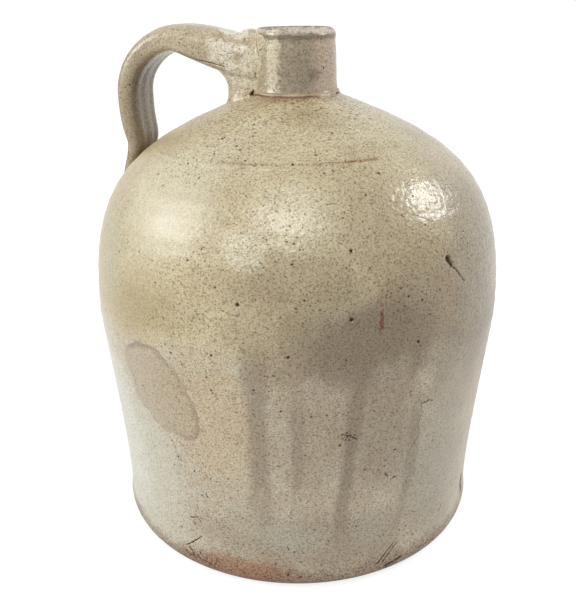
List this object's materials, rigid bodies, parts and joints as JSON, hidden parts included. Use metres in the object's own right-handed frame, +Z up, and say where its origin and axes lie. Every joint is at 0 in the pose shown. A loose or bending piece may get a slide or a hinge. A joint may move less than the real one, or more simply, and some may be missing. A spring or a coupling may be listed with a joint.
{
  "type": "stoneware crock jug",
  "caption": "Salt-glazed stoneware storage jug with a domed shoulder, a short straight neck for a cork and a pulled strap handle beside it.",
  "frame": {"origin": "centre of the flat foot, on the surface that the jug stands on", "axes": "+Z up along the thrown body's axis, out of the neck; the strap handle stands on the -X side, in the XZ plane"},
  "size_m": [0.2386, 0.2386, 0.2917],
  "materials": {
    "salt_glaze": "thin satin salt glaze over buff stoneware, orange peel texture, iron specks",
    "strap_glaze": "salt glaze over pulled clay, lengthwise streaks, bright along the edges",
    "luting_slip": "thin reddish brown slip squeezed from the joint",
    "slip_lining": "glossy dark brown slip glaze"
  },
  "bodies": {
    "root": {"jug_body": "salt_glaze", "neck_collar": "salt_glaze", "neck_luting_slip": "luting_slip", "handle_strap": "strap_glaze", "handle_root_wad": "strap_glaze", "slip_lining": "slip_lining"}
  },
  "joints": []
}
